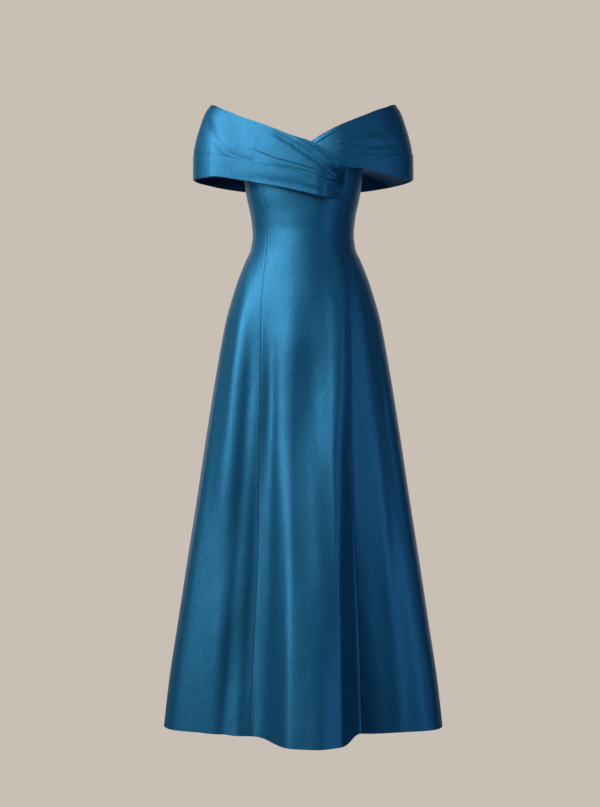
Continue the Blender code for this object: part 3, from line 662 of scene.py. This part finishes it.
def satin_cloth(name, warp_hex, weft_hex, roughness, metallic, coat, sheen):
    """Heavy satin-faced silk blend: long floats of warp give a broad soft sheen, uneven weft threads a fine cross
    grain, and the cloth puckers very slightly where it is handled. Its colour carries painted shade in the groove
    of a seam and along a turned edge."""
    material, tree, output = new_material(name)
    uv = add_node(tree, "ShaderNodeUVMap", {"uv_map": "cloth"}).outputs["UV"]
    grain_place = add_node(tree, "ShaderNodeMapping", None, {"Vector": uv}, Scale=GRAIN_PER_METRE)
    grain = add_node(tree, "ShaderNodeTexNoise", {"noise_dimensions": "2D"}, {"Vector": grain_place.outputs["Vector"]},
                     Scale=1.0, Detail=2.0, Roughness=0.6)
    pucker_place = add_node(tree, "ShaderNodeMapping", None, {"Vector": uv}, Scale=PUCKERS_PER_METRE)
    pucker = add_node(tree, "ShaderNodeTexNoise", {"noise_dimensions": "2D"},
                      {"Vector": pucker_place.outputs["Vector"]}, Scale=1.0, Detail=3.0, Roughness=0.5)
    ramp = add_node(tree, "ShaderNodeValToRGB", None, {"Fac": grain.outputs["Fac"]})
    low, high = ramp.color_ramp.elements
    low.position, high.position = TONE_SPAN
    low.color = (*linear(weft_hex), 1.0)
    high.color = (*linear(warp_hex), 1.0)
    # Painted shade: the colour is multiplied darker near the sides and ends of each piece, for the shade along seams
    # and turned edges
    edges = add_node(tree, "ShaderNodeUVMap", {"uv_map": "edges"}).outputs["UV"]
    parts = add_node(tree, "ShaderNodeSeparateXYZ", None, {0: edges})
    nearest = add_node(tree, "ShaderNodeMath", {"operation": "MINIMUM"}, {0: parts.outputs[0], 1: parts.outputs[1]})
    painted_seam_shade = add_node(tree, "ShaderNodeMapRange", {"interpolation_type": "SMOOTHSTEP"}, {"Value": nearest.outputs[0]})
    painted_seam_shade.inputs["From Max"].default_value = PAINTED_SHADE_WIDTH
    painted_seam_shade.inputs["To Min"].default_value = PAINTED_SHADE_TONE
    shaded = add_node(tree, "ShaderNodeMix", {"data_type": "RGBA", "blend_type": "MULTIPLY"})
    shaded.inputs[0].default_value = 1.0
    tree.links.new(ramp.outputs["Color"], shaded.inputs[6])
    tree.links.new(painted_seam_shade.outputs["Result"], shaded.inputs[7])
    soft = add_node(tree, "ShaderNodeBump", None, {"Height": pucker.outputs["Fac"]}, Strength=1.0,
                    Distance=PUCKER_DEPTH)
    fine = add_node(tree, "ShaderNodeBump", None, {"Height": grain.outputs["Fac"], "Normal": soft.outputs["Normal"]},
                    Strength=1.0, Distance=GRAIN_DEPTH)
    shader = add_node(tree, "ShaderNodeBsdfPrincipled", None,
                      {"Base Color": shaded.outputs[2], "Normal": fine.outputs["Normal"]})
    shader.inputs["Roughness"].default_value = roughness
    shader.inputs["Metallic"].default_value = metallic
    shader.inputs["Coat Weight"].default_value = coat
    shader.inputs["Coat Roughness"].default_value = 0.5
    shader.inputs["Sheen Weight"].default_value = sheen
    shader.inputs["Sheen Roughness"].default_value = 0.35
    shader.inputs["Sheen Tint"].default_value = (*linear("#8a8494"), 1.0)
    tree.links.new(shader.outputs["BSDF"], output.inputs["Surface"])
    return material


def enamelled_metal(name):
    """Small die-cast zip parts under a coat of dyed enamel: smooth, with a clear gloss."""
    material, tree, output = new_material(name)
    place = tree.nodes.new("ShaderNodeTexCoord").outputs["Object"]
    worn = add_node(tree, "ShaderNodeTexNoise", None, {"Vector": place}, Scale=900.0, Detail=3.0)
    ramp = add_node(tree, "ShaderNodeValToRGB", None, {"Fac": worn.outputs["Fac"]})
    ramp.color_ramp.elements[0].color = (*linear("#123e5c"), 1.0)
    ramp.color_ramp.elements[1].color = (*linear("#1d6590"), 1.0)
    shader = add_node(tree, "ShaderNodeBsdfPrincipled", None, {"Base Color": ramp.outputs["Color"]})
    shader.inputs["Roughness"].default_value = 0.28
    shader.inputs["Metallic"].default_value = 0.6
    shader.inputs["Coat Weight"].default_value = 0.4
    tree.links.new(shader.outputs["BSDF"], output.inputs["Surface"])
    return material


def studio_paper(name, hex_colour):
    """Matt studio paper lit evenly from behind, so that it shows one pale tone with no shading of its own."""
    material, tree, output = new_material(name)
    glow = tree.nodes.new("ShaderNodeEmission")
    glow.inputs["Color"].default_value = (*linear(hex_colour), 1.0)
    tree.links.new(glow.outputs["Emission"], output.inputs["Surface"])
    return material


def build_stage():
    """Round pale floor that runs up into a wall all round in one soft curve, wide enough for a camera on any side."""
    flat = np.linspace(0.0, FLOOR_RADIUS, 6)
    bend = np.linspace(0.0, math.pi / 2.0, 13)[1:]
    reach = np.concatenate([flat, FLOOR_RADIUS + BEND_RADIUS * np.sin(bend), [FLOOR_RADIUS + BEND_RADIUS]])
    rise = np.concatenate([np.zeros(6), BEND_RADIUS * (1.0 - np.cos(bend)), [WALL_HEIGHT]])
    turn = np.linspace(0.0, 2.0 * math.pi, 97)
    x = reach[:, None] * np.cos(turn)
    y = reach[:, None] * np.sin(turn)
    z = np.broadcast_to(rise[:, None], x.shape) + FLOOR_HEIGHT
    points = np.stack([x, y, z], axis=-1).reshape(-1, 3)
    index = np.arange(x.size).reshape(x.shape)
    faces = np.stack([index[:-1, :-1], index[1:, :-1], index[1:, 1:], index[:-1, 1:]], axis=-1).reshape(-1, 4)
    mesh = bpy.data.meshes.new("studio_paper")
    mesh.from_pydata(points, [], faces)
    mesh.polygons.foreach_set("use_smooth", np.ones(len(faces), dtype=bool))
    mesh.materials.append(studio_paper("studio_paper", "#c9bfb5"))
    paper = bpy.data.objects.new("studio_paper", mesh)
    bpy.context.scene.collection.objects.link(paper)
    paper.visible_diffuse = False
    paper.visible_glossy = False
    return paper


def area_light(name, place, aim, size, watts, hex_colour):
    """A square soft light at a place, turned to its aim."""
    lamp = bpy.data.lights.new(name, "AREA")
    lamp.shape = "RECTANGLE"
    lamp.size, lamp.size_y = size
    lamp.energy = watts
    lamp.color = linear(hex_colour)
    holder = bpy.data.objects.new(name, lamp)
    holder.location = place
    way = np.array(aim) - np.array(place)
    length = np.linalg.norm(way)
    holder.rotation_euler = (math.acos(-way[2] / length), 0.0, math.atan2(way[1], way[0]) - math.pi / 2.0)
    holder.visible_camera = False
    bpy.context.scene.collection.objects.link(holder)


def build_light():
    """A tall key light from the upper left of the front, a weaker fill from the right, and a dim room."""
    for row in LIGHTS:
        area_light(*row)
    world = bpy.data.worlds.new("dim_room")
    world.use_nodes = True
    background = next(n for n in world.node_tree.nodes if n.type == "BACKGROUND")
    background.inputs["Color"].default_value = (*linear("#9db9d8"), 1.0)
    background.inputs["Strength"].default_value = ROOM_STRENGTH
    bpy.context.scene.world = world
    bpy.context.scene.view_settings.view_transform = "Standard"


def build_camera():
    """The photograph's view: straight from the front, level, with a long lens."""
    lens = bpy.data.cameras.new("camera")
    lens.sensor_width = 36.0
    lens.lens = FOCAL_PIXELS * lens.sensor_width / PICTURE_HEIGHT
    holder = bpy.data.objects.new("camera", lens)
    holder.location = CAMERA_PLACE
    holder.rotation_euler = (math.pi / 2.0, 0.0, 0.0)
    bpy.context.scene.collection.objects.link(holder)
    bpy.context.scene.camera = holder


FLOOR_HEIGHT = -1.140
FLOOR_RADIUS = 7.5
BEND_RADIUS = 1.5
WALL_HEIGHT = 9.0
ROOM_STRENGTH = 0.08
LIGHT_COLUMNS = ("name", "place", "aim", "size", "watts", "colour")
LIGHTS = (
    ("key", (-2.5, -1.6, 0.7), (0.0, 0.0, -0.2), (1.5, 2.0), 63.0, "#fff4e6"),
    ("key_high", (-2.2, -1.9, 1.7), (0.0, 0.0, 0.1), (1.8, 1.8), 90.0, "#fff4e6"),
    ("front", (-0.6, -4.4, 1.4), (0.0, 0.0, -0.3), (1.6, 1.6), 16.0, "#fffaf4"),
    ("fill", (2.8, -1.6, 0.2), (0.0, 0.0, -0.6), (1.2, 2.4), 12.5, "#dce8fb"),
    ("fill_low", (2.6, -1.9, -0.9), (0.0, 0.0, -0.8), (1.0, 1.2), 12.0, "#dce8fb"),
    ("behind", (0.0, 2.6, 0.2), (0.0, 0.0, -0.3), (5.0, 3.0), 60.0, "#f3e6da"),
)
FOCAL_PIXELS = 1980.0
PICTURE_HEIGHT = 807.0
CAMERA_PLACE = (-0.0073, -4.5, -0.383)


def refined_copy(node, name, body, material, bevel):
    """A CAD node's own shape as a new piece, with its loose triangles joined and its edges rounded."""
    import bmesh
    source = bpy.data.objects[node]
    work = bmesh.new()
    work.from_mesh(source.data)
    bmesh.ops.remove_doubles(work, verts=work.verts, dist=0.00001)
    bmesh.ops.dissolve_limit(work, angle_limit=math.radians(2.0), verts=work.verts, edges=work.edges)
    mesh = bpy.data.meshes.new(name)
    work.to_mesh(mesh)
    work.free()
    mesh.materials.clear()
    mesh.materials.append(material)
    piece = bpy.data.objects.new(name, mesh)
    bpy.context.scene.collection.objects.link(piece)
    rounding = piece.modifiers.new("rounding", "BEVEL")
    rounding.width = bevel
    rounding.segments = 3
    rounding.limit_method = "ANGLE"
    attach(piece, body)
    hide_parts(node)
    return piece


def main():
    face = satin_cloth("satin_face", "#0c6fa1", "#05547c", 0.55, 0.78, 0.19, 0.08)
    lining = satin_cloth("satin_lining", "#15527c", "#11446a", 0.55, 0.1, 0.0, 0.05)
    metal = enamelled_metal("enamelled_metal")
    build_panels(face, lining)
    build_collar_cloth("right", RIGHT_CLOTH_COLUMNS, edge_rows(RIGHT_TOP_FRONT, TOP_BACK, -1.0),
                       edge_rows(RIGHT_BOTTOM_FRONT, BOTTOM_BACK, -1.0), True, RIGHT_CREASES, face, lining)
    build_collar_cloth("left", LEFT_CLOTH_COLUMNS, edge_rows(LEFT_TOP_FRONT, TOP_BACK, 1.0),
                       edge_rows(LEFT_BOTTOM_FRONT, BOTTOM_BACK, 1.0), False, LEFT_CREASES, face, lining)
    refined_copy("zip_slider", "zip_slider_body", "gown", metal, 0.00018)
    refined_copy("zip_pull", "zip_pull_tab", "pull_tab", metal, 0.00018)
    build_stage()
    build_light()
    build_camera()


main()
